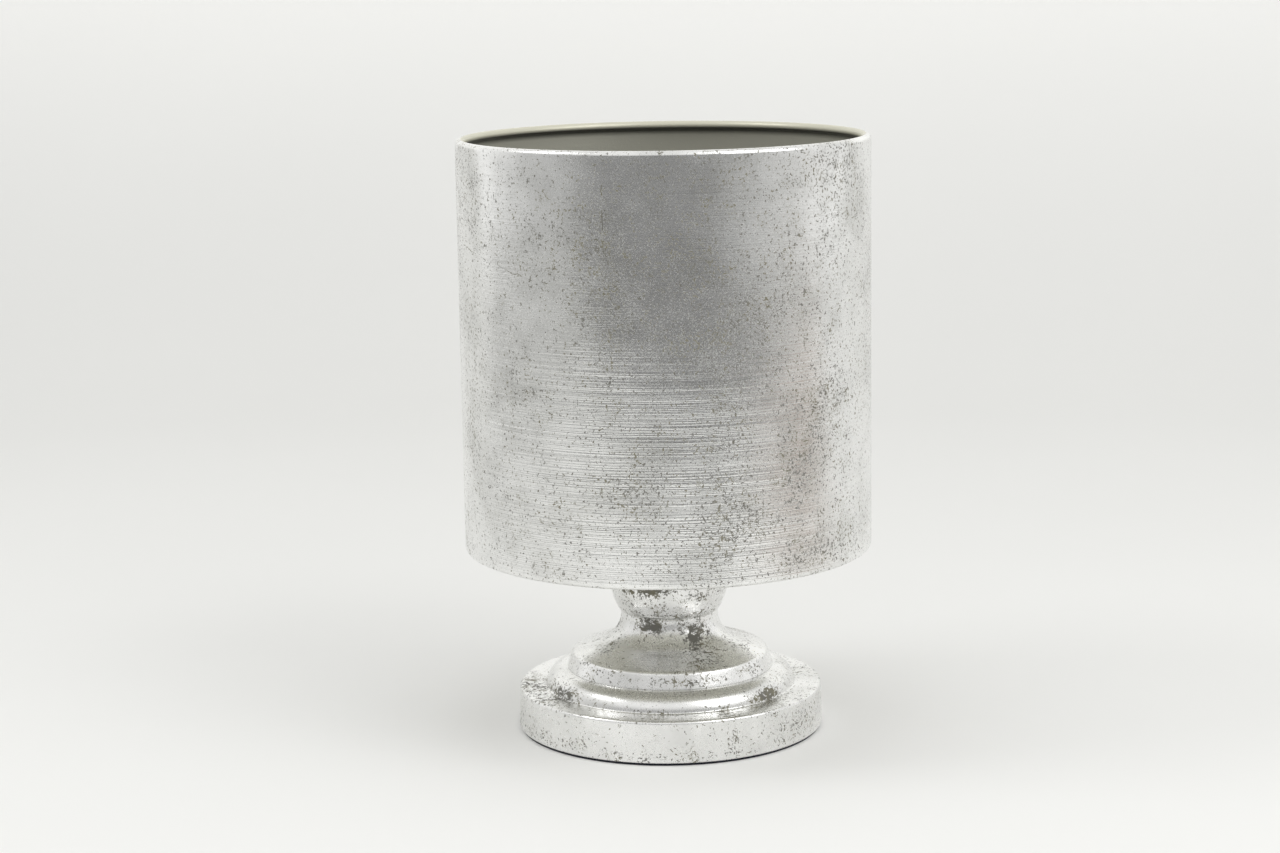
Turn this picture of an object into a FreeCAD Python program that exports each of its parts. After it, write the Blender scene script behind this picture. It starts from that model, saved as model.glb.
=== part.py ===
"""Metal planter on a turned foot: a rolled drum with a wired rim, clamped by one bolt to a spun knop, bell
and plinth. Millimetres, +Z up, origin on the axis at the surface that the foot stands on."""

import FreeCAD, Part
import Sketcher
import math
import os
from enum import IntEnum
from FreeCAD import Vector

# Driving dimensions: alias, value, meaning
DIMENSIONS = [
    ("pot_diameter", 230.0, "outside of the drum"),
    ("pot_height", 231.3, "drum, turned-in edge to top of rim"),
    ("pot_sheet", 0.8, "sheet of the drum and its floor"),
    ("pot_corner", 2.5, "outside radius of the drum's lower edge"),
    ("pot_flange", 10.0, "width of the edge turned in under the floor"),
    ("rim_wire_diameter", 3.0, "wire inside the rim"),
    ("rim_wire_clearance", 0.3, "between the wire and the sheet curled round it"),
    ("rim_curl", 285.0, "degrees that the sheet is curled from the outside wall"),
    ("floor_lip", 8.0, "height of the floor's upturned lip"),
    ("floor_bend", 3.0, "outside radius between the floor and its lip"),
    ("floor_clearance", 0.1, "between the floor's lip and the wall"),
    ("foot_sheet", 1.0, "sheet of knop, bell and plinth"),
    ("foot_bend", 1.6, "outside radius where spun sheet turns to a flange"),
    ("knop_diameter", 67.3, "knop at its widest"),
    ("knop_height", 38.3, "knop between its two seats"),
    ("knop_bulge", 36.0, "radius of the knop's barrel outline"),
    ("knop_bore", 30.0, "opening inside the knop's flanges"),
    ("neck_diameter", 55.0, "bell at its narrowest, under the knop"),
    ("bell_height", 32.6, "bell between its two seats"),
    ("bell_flare", 17.0, "radius of the hollow flare below the neck"),
    ("lip_diameter", 117.2, "outside of the bell's rounded lip"),
    ("lip_round", 6.0, "radius of the lip's shoulder"),
    ("lip_depth", 2.3, "seat of the bell to the centre of the lip's shoulder"),
    ("plinth_height", 33.7, "plinth, hem to its top seat"),
    ("skirt_height", 23.6, "skirt, hem to ledge"),
    ("skirt_foot_diameter", 173.4, "skirt at its bottom edge"),
    ("skirt_ledge_diameter", 172.0, "skirt at its ledge"),
    ("torus_round", 10.7, "radius of the quarter-round moulding"),
    ("torus_top_diameter", 120.4, "where the moulding meets the top seat"),
    ("cove", 1.0, "radius in the corner between ledge and moulding"),
    ("hem_width", 12.7, "hem turned in under the skirt, from the skirt's bottom edge"),
    ("collar_diameter", 100.0, "outside of the plinth's collar that centres the bell"),
    ("collar_height", 4.0, "collar above the top seat"),
    ("collar_bend", 1.0, "hollow radius at the collar's root"),
    ("collar_clearance", 0.2, "between the bell's flange and the collar's root"),
    ("ring_height", 1.2, "ring under the hem"),
    ("ring_inset", 1.4, "ring's edge inside the skirt's bottom edge"),
    ("ring_width", 10.3, "ring, from its edge to its opening"),
    ("bolt_diameter", 8.0, "tie bolt's shank"),
    ("bolt_reach", 4.0, "bolt past the nut"),
    ("bolt_tip", 1.0, "chamfer at the bolt's tip"),
    ("head_height", 5.3, "bolt's head"),
    ("hex_flats", 13.0, "width across the flats of head and nut"),
    ("hex_crown", 30.0, "degrees of the chamfer on the hexagons' corners"),
    ("hole_clearance", 1.0, "bolt holes over the bolt's diameter"),
    ("washer_clearance", 0.4, "washers over the bolt's diameter"),
    ("thread_clearance", 0.1, "nut's bore over the bolt's diameter"),
    ("nut_height", 6.5, "nut"),
    ("seal_diameter", 28.0, "rubber washer"),
    ("seal_height", 2.0, "rubber washer"),
    ("washer_diameter", 24.0, "steel washers"),
    ("washer_height", 1.6, "steel washers"),
    ("spring_diameter", 14.8, "spring washer"),
    ("spring_height", 2.0, "spring washer"),
    ("spring_split", 1.2, "cut through the spring washer"),
    ("spring_slant", 25.0, "degrees that the cut leans"),
    ("bridge_width", 24.0, "bar across the plinth's opening"),
    ("bridge_height", 3.0, "bar"),
    ("bridge_bearing", 8.0, "length of bar on the plinth's seat at each end"),
]

doc = FreeCAD.newDocument("planter")
sheet = doc.addObject("Spreadsheet::Sheet", "dims")
for row, (alias, number, meaning) in enumerate(DIMENSIONS, start=1):
    sheet.set(f"A{row}", meaning)
    sheet.set(f"B{row}", str(number))
    sheet.setAlias(f"B{row}", alias)
doc.recompute()

# Levels and radii that several pieces share, as expressions on the sheet
PLINTH_TOP = "(dims.ring_height + dims.plinth_height)"
NECK = f"({PLINTH_TOP} + dims.bell_height)"
POT_SEAT = f"({NECK} + dims.knop_height)"
POT_BOTTOM = f"({POT_SEAT} - dims.pot_sheet)"
POT_RADIUS = "(dims.pot_diameter / 2)"
RIM_ROUND = "(dims.rim_wire_diameter / 2 + dims.rim_wire_clearance + dims.pot_sheet)"
RIM_CENTRE = f"({POT_BOTTOM} + dims.pot_height - {RIM_ROUND})"
FLOOR_TOP = f"({POT_SEAT} + dims.pot_sheet)"
HEAD_SEAT = f"({FLOOR_TOP} + dims.seal_height + dims.washer_height)"
BRIDGE_TOP = f"({PLINTH_TOP} - dims.foot_sheet)"
BRIDGE_SEAT = f"({BRIDGE_TOP} - dims.bridge_height)"
SPRING_TOP = f"({BRIDGE_SEAT} - dims.washer_height)"
NUT_TOP = f"({SPRING_TOP} - dims.spring_height)"
NUT_SEAT = f"({NUT_TOP} - dims.nut_height)"
BOLT_HOLE = "(dims.bolt_diameter + dims.hole_clearance)"
WASHER_BORE = "(dims.bolt_diameter + dims.washer_clearance)"
RING_OUTSIDE = "(dims.skirt_foot_diameter - 2 * dims.ring_inset)"

QUARTER = math.pi / 2


class Axis(IntEnum):
    """The sketcher's own numbers for the two axes of a sketch."""
    LEVEL = -1
    UPRIGHT = -2


class Point(IntEnum):
    """The sketcher's own numbers for the points of a line or an arc."""
    START = 1
    END = 2
    CENTRE = 3


ORIGIN = (Axis.LEVEL, Point.START)
START, END, CENTRE = Point


def value(expression):
    """The number that an expression on the sheet stands for now."""
    number = sheet.evalExpression(expression)
    return float(getattr(number, "Value", number))


def polar(centre, radius, angle):
    return centre + Vector(radius * math.cos(angle), radius * math.sin(angle), 0)


def bind(sketch, expression, kind, *where):
    """A dimension of a sketch that follows an expression on the sheet."""
    datum = sketch.addConstraint(Sketcher.Constraint(kind, *where, value(expression)))
    sketch.setExpression(f"Constraints[{datum}]", expression)


def rule(sketch, kind, *where):
    """A geometric rule of a sketch, such as level or tangent."""
    sketch.addConstraint(Sketcher.Constraint(kind, *where))


class SpunProfile:
    """The outside line of a spun sheet, drawn as straight runs and arcs that flow into each other.

    The sketch lies in the XZ plane: its x is the radius and its y the height."""

    def __init__(self, name):
        self.name = name
        self.sketch = doc.addObject("Sketcher::SketchObject", f"{name}_profile")
        self.sketch.Placement = FreeCAD.Placement(Vector(), FreeCAD.Rotation(Vector(1, 0, 0), 90))
        self.open_end = None

    def join(self, geometry, entry, exit_):
        """Adds a piece of the line, tangent to the piece before it."""
        index = self.sketch.addGeometry(geometry, False)
        if self.open_end:
            rule(self.sketch, "Tangent", *self.open_end, index, entry)
        self.open_end = (index, exit_)
        return index

    def line(self, start, end):
        return self.join(Part.LineSegment(start, end), START, END)

    def arc(self, centre, radius, first, last):
        """An arc from one angle to another, in radians, either way round."""
        circle = Part.Circle(centre, Vector(0, 0, 1), radius)
        if last > first:
            return self.join(Part.ArcOfCircle(circle, first, last), START, END)
        return self.join(Part.ArcOfCircle(circle, last, first), END, START)

    def level(self, *lines):
        for line in lines:
            rule(self.sketch, "Horizontal", line)

    def upright(self, *lines):
        for line in lines:
            rule(self.sketch, "Vertical", line)

    def radius_of(self, expression, *arcs):
        for arc in arcs:
            bind(self.sketch, expression, "Radius", arc)

    def place_r(self, expression, piece, point):
        bind(self.sketch, expression, "DistanceX", *ORIGIN, piece, point)

    def place_z(self, expression, piece, point):
        bind(self.sketch, expression, "DistanceY", *ORIGIN, piece, point)

    def spin(self, sheet_size):
        """Thickens the line to the inside by the sheet and turns it about the axis."""
        section = doc.addObject("Part::Offset2D", f"{self.name}_section")
        section.Source = self.sketch
        section.Mode = "Skin"
        section.Fill = True
        section.setExpression("Value", sheet_size)
        piece = doc.addObject("Part::Revolution", self.name)
        piece.Label = self.name
        piece.Source = section
        piece.Axis = Vector(0, 0, 1)
        piece.Angle = 360
        piece.Solid = True
        return piece


def make_pot_wall():
    """The drum: its bottom edge is turned in as a flange, its top edge curled inwards round a wire."""
    radius = value(POT_RADIUS)
    bottom = value(POT_BOTTOM)
    corner = value("dims.pot_corner")
    rim = value(RIM_ROUND)
    rim_centre = Vector(radius - rim, value(RIM_CENTRE), 0)
    flange_edge = f"{POT_RADIUS} - dims.pot_flange"
    profile = SpunProfile("pot_wall")
    flange = profile.line(Vector(value(flange_edge), bottom, 0), Vector(radius - corner, bottom, 0))
    edge = profile.arc(Vector(radius - corner, bottom + corner, 0), corner, -QUARTER, 0)
    wall = profile.line(Vector(radius, bottom + corner, 0), rim_centre + Vector(rim, 0, 0))
    curl = profile.arc(rim_centre, rim, 0, math.radians(value("dims.rim_curl")))
    profile.level(flange)
    profile.upright(wall)
    profile.radius_of("dims.pot_corner", edge)
    profile.radius_of(RIM_ROUND, curl)
    profile.place_r(POT_RADIUS, wall, START)
    profile.place_z(POT_BOTTOM, flange, START)
    profile.place_r(flange_edge, flange, START)
    profile.place_z(RIM_CENTRE, curl, CENTRE)
    bind(profile.sketch, "dims.rim_curl * 1 deg", "Angle", curl)
    return profile.spin("dims.pot_sheet")


def make_rim_wire():
    wire = doc.addObject("Part::Torus", "rim_wire")
    wire.Label = "rim_wire"
    wire.setExpression("Radius1", f"{POT_RADIUS} - {RIM_ROUND}")
    wire.setExpression("Radius2", "dims.rim_wire_diameter / 2")
    wire.setExpression("Placement.Base.z", RIM_CENTRE)
    return wire


def make_pot_floor():
    """The disc that lies on the drum's turned-in flange, with a lip up the wall and a hole for the bolt."""
    edge_radius = f"{POT_RADIUS} - dims.pot_sheet - dims.floor_clearance"
    hole = f"{BOLT_HOLE} / 2"
    radius = value(edge_radius)
    seat = value(POT_SEAT)
    bend = value("dims.floor_bend")
    lip_top = f"{POT_SEAT} + dims.floor_lip"
    profile = SpunProfile("pot_floor")
    disc = profile.line(Vector(value(hole), seat, 0), Vector(radius - bend, seat, 0))
    turn = profile.arc(Vector(radius - bend, seat + bend, 0), bend, -QUARTER, 0)
    lip = profile.line(Vector(radius, seat + bend, 0), Vector(radius, value(lip_top), 0))
    profile.level(disc)
    profile.upright(lip)
    profile.radius_of("dims.floor_bend", turn)
    profile.place_r(hole, disc, START)
    profile.place_z(POT_SEAT, disc, START)
    profile.place_r(edge_radius, lip, END)
    profile.place_z(lip_top, lip, END)
    return profile.spin("dims.pot_sheet")


def make_knop():
    """The barrel-shaped bulb: one bulging arc, turned in at both ends to flat flanges."""
    bore = "dims.knop_bore / 2"
    bulge_r = "dims.knop_diameter / 2 - dims.knop_bulge"
    bulge_z = f"{NECK} + dims.knop_height / 2"
    bulge = value("dims.knop_bulge")
    bend = value("dims.foot_bend")
    low = value(NECK)
    high = value(POT_SEAT)
    centre = Vector(value(bulge_r), value(bulge_z), 0)
    rise = (high - low) / 2 - bend
    lean = math.asin(rise / (bulge - bend))
    low_bend = polar(centre, bulge - bend, -lean)
    high_bend = polar(centre, bulge - bend, lean)
    profile = SpunProfile("knop")
    low_flange = profile.line(Vector(value(bore), low, 0), Vector(low_bend.x, low, 0))
    low_turn = profile.arc(low_bend, bend, -QUARTER, -lean)
    barrel = profile.arc(centre, bulge, -lean, lean)
    high_turn = profile.arc(high_bend, bend, lean, QUARTER)
    high_flange = profile.line(Vector(high_bend.x, high, 0), Vector(value(bore), high, 0))
    profile.level(low_flange, high_flange)
    profile.radius_of("dims.foot_bend", low_turn, high_turn)
    profile.radius_of("dims.knop_bulge", barrel)
    profile.place_r(bulge_r, barrel, CENTRE)
    profile.place_z(bulge_z, barrel, CENTRE)
    profile.place_r(bore, low_flange, START)
    profile.place_z(NECK, low_flange, START)
    profile.place_r(bore, high_flange, END)
    profile.place_z(POT_SEAT, high_flange, END)
    return profile.spin("dims.foot_sheet")


def make_foot_bell():
    """The bell: a hollow flare below the neck, a straight run and a rounded lip, with flanges to clamp it."""
    hole = f"{BOLT_HOLE} / 2"
    neck_r = "dims.neck_diameter / 2"
    lip_r = "dims.lip_diameter / 2"
    lip_z = f"{PLINTH_TOP} + dims.lip_depth"
    bore = "dims.collar_diameter / 2 + dims.collar_bend + dims.collar_clearance"
    bend = value("dims.foot_bend")
    flare = value("dims.bell_flare")
    shoulder = value("dims.lip_round")
    top = value(NECK)
    bottom = value(PLINTH_TOP)
    neck = Vector(value(neck_r), top - bend, 0)
    flare_centre = neck + Vector(flare, 0, 0)
    lip_edge = Vector(value(lip_r), value(lip_z), 0)
    lip_centre = lip_edge - Vector(shoulder, 0, 0)
    # The straight run touches the flare from outside and the lip from above, at one angle
    apart = lip_centre - flare_centre
    slope = math.atan2(apart.y, apart.x) + math.acos(-(flare + shoulder) / apart.Length)
    profile = SpunProfile("foot_bell")
    top_flange = profile.line(Vector(value(hole), top, 0), Vector(neck.x - bend, top, 0))
    top_turn = profile.arc(neck - Vector(bend, 0, 0), bend, QUARTER, 0)
    hollow = profile.arc(flare_centre, flare, math.pi, math.pi + slope)
    profile.line(polar(flare_centre, flare, math.pi + slope), polar(lip_centre, shoulder, slope))
    lip = profile.arc(lip_centre, shoulder, slope, 0)
    edge = profile.line(lip_edge, Vector(lip_edge.x, bottom + bend, 0))
    low_turn = profile.arc(Vector(lip_edge.x - bend, bottom + bend, 0), bend, 0, -QUARTER)
    low_flange = profile.line(Vector(lip_edge.x - bend, bottom, 0), Vector(value(bore), bottom, 0))
    profile.level(top_flange, low_flange)
    profile.upright(edge)
    profile.radius_of("dims.foot_bend", top_turn, low_turn)
    profile.radius_of("dims.bell_flare", hollow)
    profile.radius_of("dims.lip_round", lip)
    profile.place_r(hole, top_flange, START)
    profile.place_z(NECK, top_flange, START)
    profile.place_r(neck_r, hollow, START)
    rule(profile.sketch, "Horizontal", hollow, START, hollow, CENTRE)
    profile.place_r(lip_r, edge, START)
    profile.place_z(lip_z, lip, CENTRE)
    profile.place_r(bore, low_flange, END)
    profile.place_z(PLINTH_TOP, low_flange, END)
    return profile.spin("-dims.foot_sheet")


def make_foot_plinth():
    """The plinth: hem, flaring skirt, ledge, quarter-round moulding, top seat and the bell's collar."""
    hem_bore = "dims.skirt_foot_diameter / 2 - dims.hem_width"
    hem_z = "dims.ring_height"
    ledge_z = "dims.ring_height + dims.skirt_height"
    foot_r = "dims.skirt_foot_diameter / 2 - dims.foot_bend"
    ledge_r = "dims.skirt_ledge_diameter / 2 - dims.foot_bend"
    torus_r = "dims.torus_top_diameter / 2"
    collar_r = "dims.collar_diameter / 2"
    collar_top = f"{PLINTH_TOP} + dims.collar_height"
    bend = value("dims.foot_bend")
    cove = value("dims.cove")
    torus = value("dims.torus_round")
    collar_bend = value("dims.collar_bend")
    top = value(PLINTH_TOP)
    ledge = value(ledge_z)
    foot_centre = Vector(value(foot_r), value(hem_z) + bend, 0)
    ledge_centre = Vector(value(ledge_r), ledge - bend, 0)
    taper = ledge_centre - foot_centre
    skirt_angle = math.atan2(taper.y, taper.x) - QUARTER
    torus_centre = Vector(value(torus_r), top - torus, 0)
    # The cove is tangent to the ledge and to the moulding
    cove_angle = math.asin((ledge + cove - torus_centre.y) / (torus + cove))
    cove_centre = polar(torus_centre, torus + cove, cove_angle)
    collar = value(collar_r)
    profile = SpunProfile("foot_plinth")
    hem = profile.line(Vector(value(hem_bore), value(hem_z), 0), Vector(foot_centre.x, value(hem_z), 0))
    hem_turn = profile.arc(foot_centre, bend, -QUARTER, skirt_angle)
    profile.line(polar(foot_centre, bend, skirt_angle), polar(ledge_centre, bend, skirt_angle))
    ledge_turn = profile.arc(ledge_centre, bend, skirt_angle, QUARTER)
    ledge_run = profile.line(Vector(ledge_centre.x, ledge, 0), Vector(cove_centre.x, ledge, 0))
    hollow = profile.arc(cove_centre, cove, -QUARTER, cove_angle - math.pi)
    moulding = profile.arc(torus_centre, torus, cove_angle, QUARTER)
    seat = profile.line(Vector(torus_centre.x, top, 0), Vector(collar + collar_bend, top, 0))
    collar_centre = Vector(collar + collar_bend, top + collar_bend, 0)
    collar_turn = profile.arc(collar_centre, collar_bend, -QUARTER, -math.pi)
    stand = profile.line(collar_centre - Vector(collar_bend, 0, 0), Vector(collar, value(collar_top), 0))
    profile.level(hem, ledge_run, seat)
    profile.upright(stand)
    profile.radius_of("dims.foot_bend", hem_turn, ledge_turn)
    profile.radius_of("dims.cove", hollow)
    profile.radius_of("dims.torus_round", moulding)
    profile.radius_of("dims.collar_bend", collar_turn)
    profile.place_r(hem_bore, hem, START)
    profile.place_z(hem_z, hem, START)
    profile.place_r(foot_r, hem_turn, CENTRE)
    profile.place_r(ledge_r, ledge_turn, CENTRE)
    profile.place_z(ledge_z, ledge_run, START)
    profile.place_r(torus_r, moulding, CENTRE)
    profile.place_z(PLINTH_TOP, seat, START)
    profile.place_r(collar_r, stand, END)
    profile.place_z(collar_top, stand, END)
    return profile.spin("dims.foot_sheet")


def new_body(name):
    body = doc.addObject("PartDesign::Body", name)
    body.Label = name
    return body


def flat_sketch(body, name, plane="XY_Plane"):
    """A sketch on one of the body's own origin planes."""
    sketch = body.newObject("Sketcher::SketchObject", f"{body.Name}_{name}")
    origin_plane = next(item for item in body.Origin.OriginFeatures if item.Role == plane)
    sketch.AttachmentSupport = [(origin_plane, "")]
    sketch.MapMode = "FlatFace"
    return sketch


def add_circle(sketch, diameter):
    """A circle about the axis whose diameter follows an expression."""
    circle = sketch.addGeometry(Part.Circle(Vector(), Vector(0, 0, 1), value(diameter) / 2), False)
    rule(sketch, "Coincident", circle, CENTRE, *ORIGIN)
    bind(sketch, diameter, "Diameter", circle)


def add_polygon(sketch, corners):
    """A closed run of straight sides; side n ends at corner n."""
    sides = []
    for before, corner in zip(corners[-1:] + corners[:-1], corners):
        sides.append(sketch.addGeometry(Part.LineSegment(before, corner), False))
    for first, second in zip(sides[-1:] + sides[:-1], sides):
        rule(sketch, "Coincident", first, END, second, START)
    return sides


def add_hexagon(sketch, flats):
    """A hexagon about the axis, two of its flats level, whose width across flats follows an expression."""
    reach = value(flats) / math.sqrt(3)
    sides = add_polygon(sketch, [polar(Vector(), reach, turn * math.pi / 3) for turn in range(6)])
    guide = sketch.addGeometry(Part.Circle(Vector(), Vector(0, 0, 1), value(flats) / 2), True)
    for side in sides:
        rule(sketch, "Tangent", side, guide)
    for first, second in zip(sides[:4], sides[1:5]):
        rule(sketch, "Equal", first, second)
    rule(sketch, "Horizontal", sides[2])
    rule(sketch, "Coincident", guide, CENTRE, *ORIGIN)
    bind(sketch, flats, "Diameter", guide)


def pad(body, sketch, length, downwards=False):
    feature = body.newObject("PartDesign::Pad", f"{sketch.Name}_pad")
    feature.Profile = sketch
    feature.Reversed = downwards
    feature.setExpression("Length", length)
    return feature


def crown_hexagon(body, height):
    """Turns the corners of a hexagon's far face off to a cone, as on every bolt head and nut."""
    flat_r = "dims.hex_flats / 2"
    corner_r = "dims.hex_flats / sqrt(3)"
    depth = f"({corner_r} - {flat_r}) * tan(dims.hex_crown * 1 deg)"
    edge = value(flat_r)
    reach = value(corner_r)
    top = value(height)
    sketch = flat_sketch(body, "crown", "XZ_Plane")
    corners = [Vector(edge, top, 0), Vector(reach, top, 0), Vector(reach, top - value(depth), 0)]
    slant, face, side = add_polygon(sketch, corners)
    rule(sketch, "Horizontal", face)
    rule(sketch, "Vertical", side)
    bind(sketch, flat_r, "DistanceX", *ORIGIN, face, START)
    bind(sketch, corner_r, "DistanceX", *ORIGIN, face, END)
    bind(sketch, height, "DistanceY", *ORIGIN, face, END)
    bind(sketch, depth, "DistanceY", slant, START, slant, END)
    groove = body.newObject("PartDesign::Groove", f"{body.Name}_chamfer")
    groove.Profile = sketch
    groove.ReferenceAxis = (sketch, ["V_Axis"])
    groove.Angle = 360
    return groove


def make_disc(name, bottom, height, outside, bore):
    """A flat ring about the axis."""
    body = new_body(name)
    sketch = flat_sketch(body, "ring")
    add_circle(sketch, outside)
    add_circle(sketch, bore)
    pad(body, sketch, height)
    body.setExpression("Placement.Base.z", bottom)
    return body


def make_tie_bolt():
    body = new_body("tie_bolt")
    hexagon = flat_sketch(body, "hexagon")
    add_hexagon(hexagon, "dims.hex_flats")
    pad(body, hexagon, "dims.head_height")
    crown_hexagon(body, "dims.head_height")
    section = flat_sketch(body, "section")
    add_circle(section, "dims.bolt_diameter")
    shank = pad(body, section, f"{HEAD_SEAT} - {NUT_SEAT} + dims.bolt_reach", downwards=True)
    doc.recompute()
    tip = body.newObject("PartDesign::Chamfer", "tie_bolt_tip")
    lowest = min(shank.Shape.Edges, key=lambda edge: edge.CenterOfMass.z)
    number = next(i for i, edge in enumerate(shank.Shape.Edges, start=1) if edge.isSame(lowest))
    tip.Base = (shank, [f"Edge{number}"])
    tip.setExpression("Size", "dims.bolt_tip")
    body.setExpression("Placement.Base.z", HEAD_SEAT)
    return body


def make_hex_nut():
    body = new_body("hex_nut")
    hexagon = flat_sketch(body, "hexagon")
    add_hexagon(hexagon, "dims.hex_flats")
    add_circle(hexagon, "dims.bolt_diameter + dims.thread_clearance")
    pad(body, hexagon, "dims.nut_height")
    crown_hexagon(body, "dims.nut_height")
    # The crowned face looks down, away from the washers
    body.Placement.Rotation = FreeCAD.Rotation(Vector(1, 0, 0), 180)
    body.setExpression("Placement.Base.z", NUT_TOP)
    return body


def make_spring_washer():
    """A ring cut through on a slant, pressed flat by the nut."""
    outside = "dims.spring_diameter"
    body = make_disc("spring_washer", NUT_TOP, "dims.spring_height", outside, WASHER_BORE)
    lean = "dims.spring_height * tan(dims.spring_slant * 1 deg)"
    split = value("dims.spring_split")
    shift = value(lean)
    top = value("dims.spring_height")
    sketch = flat_sketch(body, "split", "XZ_Plane")
    corners = [Vector(-shift, 0, 0), Vector(split - shift, 0, 0), Vector(split, top, 0), Vector(0, top, 0)]
    first_slant, low, second_slant, high = add_polygon(sketch, corners)
    rule(sketch, "PointOnObject", high, END, Axis.UPRIGHT)
    rule(sketch, "PointOnObject", low, START, Axis.LEVEL)
    rule(sketch, "Parallel", first_slant, second_slant)
    for level in (low, high):
        rule(sketch, "Horizontal", level)
    bind(sketch, "dims.spring_split", "DistanceX", low, START, low, END)
    bind(sketch, lean, "DistanceX", low, START, *ORIGIN)
    bind(sketch, "dims.spring_height", "DistanceY", *ORIGIN, high, END)
    cut = body.newObject("PartDesign::Pocket", "spring_washer_cut")
    cut.Profile = sketch
    cut.setExpression("Length", outside)
    return body


def make_tie_bridge():
    """The round-ended bar that lies under the plinth's seat, across its opening."""
    body = new_body("tie_bridge")
    sketch = flat_sketch(body, "outline")
    end_round = "dims.bridge_width / 2"
    reach = f"dims.collar_diameter / 2 + dims.collar_bend + dims.bridge_bearing - {end_round}"
    across = Vector(0, value(end_round), 0)
    right_end = Vector(value(reach), 0, 0)
    left_end = -right_end
    right_circle = Part.Circle(right_end, Vector(0, 0, 1), across.y)
    left_circle = Part.Circle(left_end, Vector(0, 0, 1), across.y)
    outline = [
        Part.LineSegment(right_end + across, left_end + across),
        Part.ArcOfCircle(left_circle, QUARTER, 3 * QUARTER),
        Part.LineSegment(left_end - across, right_end - across),
        Part.ArcOfCircle(right_circle, -QUARTER, QUARTER),
    ]
    chain = [sketch.addGeometry(item, False) for item in outline]
    side, left, _, right = chain
    for first, second in zip(chain, chain[1:] + chain[:1]):
        rule(sketch, "Tangent", first, END, second, START)
    rule(sketch, "Horizontal", side)
    rule(sketch, "Symmetric", left, CENTRE, right, CENTRE, *ORIGIN)
    bind(sketch, end_round, "Radius", right)
    bind(sketch, reach, "DistanceX", *ORIGIN, right, CENTRE)
    add_circle(sketch, BOLT_HOLE)
    pad(body, sketch, "dims.bridge_height")
    body.setExpression("Placement.Base.z", BRIDGE_SEAT)
    return body


def make_pieces():
    return [
        make_pot_wall(),
        make_rim_wire(),
        make_pot_floor(),
        make_knop(),
        make_foot_bell(),
        make_foot_plinth(),
        make_disc("base_ring", "0", "dims.ring_height",
                  RING_OUTSIDE, f"{RING_OUTSIDE} - 2 * dims.ring_width"),
        make_tie_bolt(),
        make_disc("head_washer", f"{FLOOR_TOP} + dims.seal_height", "dims.washer_height",
                  "dims.washer_diameter", WASHER_BORE),
        make_disc("seal_washer", FLOOR_TOP, "dims.seal_height", "dims.seal_diameter", WASHER_BORE),
        make_tie_bridge(),
        make_disc("plain_washer", SPRING_TOP, "dims.washer_height", "dims.washer_diameter", WASHER_BORE),
        make_spring_washer(),
        make_hex_nut(),
    ]


pieces = make_pieces()
doc.recompute()

for item in doc.Objects:
    if "Invalid" in item.State or "Error" in item.State:
        raise RuntimeError(f"{item.Label} did not build: {item.State}")
for piece in pieces:
    if piece.Shape.isNull() or not piece.Shape.isValid() or len(piece.Shape.Solids) != 1:
        raise RuntimeError(f"{piece.Label} is not one sound solid")

os.makedirs("parts", exist_ok=True)
for piece in pieces:
    piece.Shape.exportStep(f"parts/{piece.Label}.step")
    print(piece.Label, round(piece.Shape.Volume, 1), piece.Shape.BoundBox)
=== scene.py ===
"""Looks of the footed planter: worn silver leaf on a rolled drum and a spun foot, bare metal inside."""

import math

import bpy
import numpy as np
from mathutils import Matrix, Vector


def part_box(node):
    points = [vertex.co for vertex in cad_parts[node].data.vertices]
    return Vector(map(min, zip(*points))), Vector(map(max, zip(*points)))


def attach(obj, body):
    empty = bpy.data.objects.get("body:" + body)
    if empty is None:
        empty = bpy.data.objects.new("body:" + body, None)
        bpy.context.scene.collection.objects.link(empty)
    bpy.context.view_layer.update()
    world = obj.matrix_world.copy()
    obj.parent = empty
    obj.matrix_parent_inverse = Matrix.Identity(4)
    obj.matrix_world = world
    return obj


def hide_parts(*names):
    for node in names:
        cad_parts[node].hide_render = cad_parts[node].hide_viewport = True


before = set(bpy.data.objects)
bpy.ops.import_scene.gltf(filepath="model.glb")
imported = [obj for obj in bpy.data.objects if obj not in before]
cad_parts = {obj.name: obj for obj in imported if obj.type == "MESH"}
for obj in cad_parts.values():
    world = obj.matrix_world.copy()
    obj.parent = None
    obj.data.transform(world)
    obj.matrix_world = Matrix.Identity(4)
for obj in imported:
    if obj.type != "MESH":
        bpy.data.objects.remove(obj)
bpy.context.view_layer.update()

MM = 0.001
SEGMENTS = 256
STEEL_NODES = ("rim_wire", "tie_bolt", "head_washer", "tie_bridge",
               "plain_washer", "spring_washer", "hex_nut")

# Sizes of the spun sheet that the boxes of the CAD nodes don't give
POT_SHEET = 0.8 * MM
FOOT_SHEET = 1.0 * MM
FOOT_BEND = 1.6 * MM
POT_CORNER = 2.5 * MM
POT_FLANGE = 10.0 * MM
POT_RIPPLE = 0.09 * MM
RIM_ROUND = 2.6 * MM
RIM_CURL = math.radians(285)
RIM_CREST = math.radians(95)
FLOOR_BEND = 3.0 * MM
BOLT_HOLE = 4.5 * MM
KNOP_BULGE = 36.0 * MM
KNOP_BORE = 15.0 * MM
NECK_RADIUS = 27.5 * MM
BELL_FLARE = 17.0 * MM
SHOULDER_ROUND = 3.2 * MM
LIP_LEAN = math.radians(18)
LIP_FACE = 7.6 * MM
LIP_FOOT = 0.3 * MM
BELL_BORE = 51.2 * MM
HEM_WIDTH = 12.7 * MM
SKIRT_HEIGHT = 23.6 * MM
SKIRT_TAPER = 0.7 * MM
TORUS_ROUND = 10.7 * MM
TORUS_RADIUS = 60.2 * MM
COVE = 1.0 * MM
COLLAR_RADIUS = 50.0 * MM
COLLAR_BEND = 1.0 * MM
COLLAR_HEIGHT = 4.0 * MM
RING_WIDTH = 10.3 * MM
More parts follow.
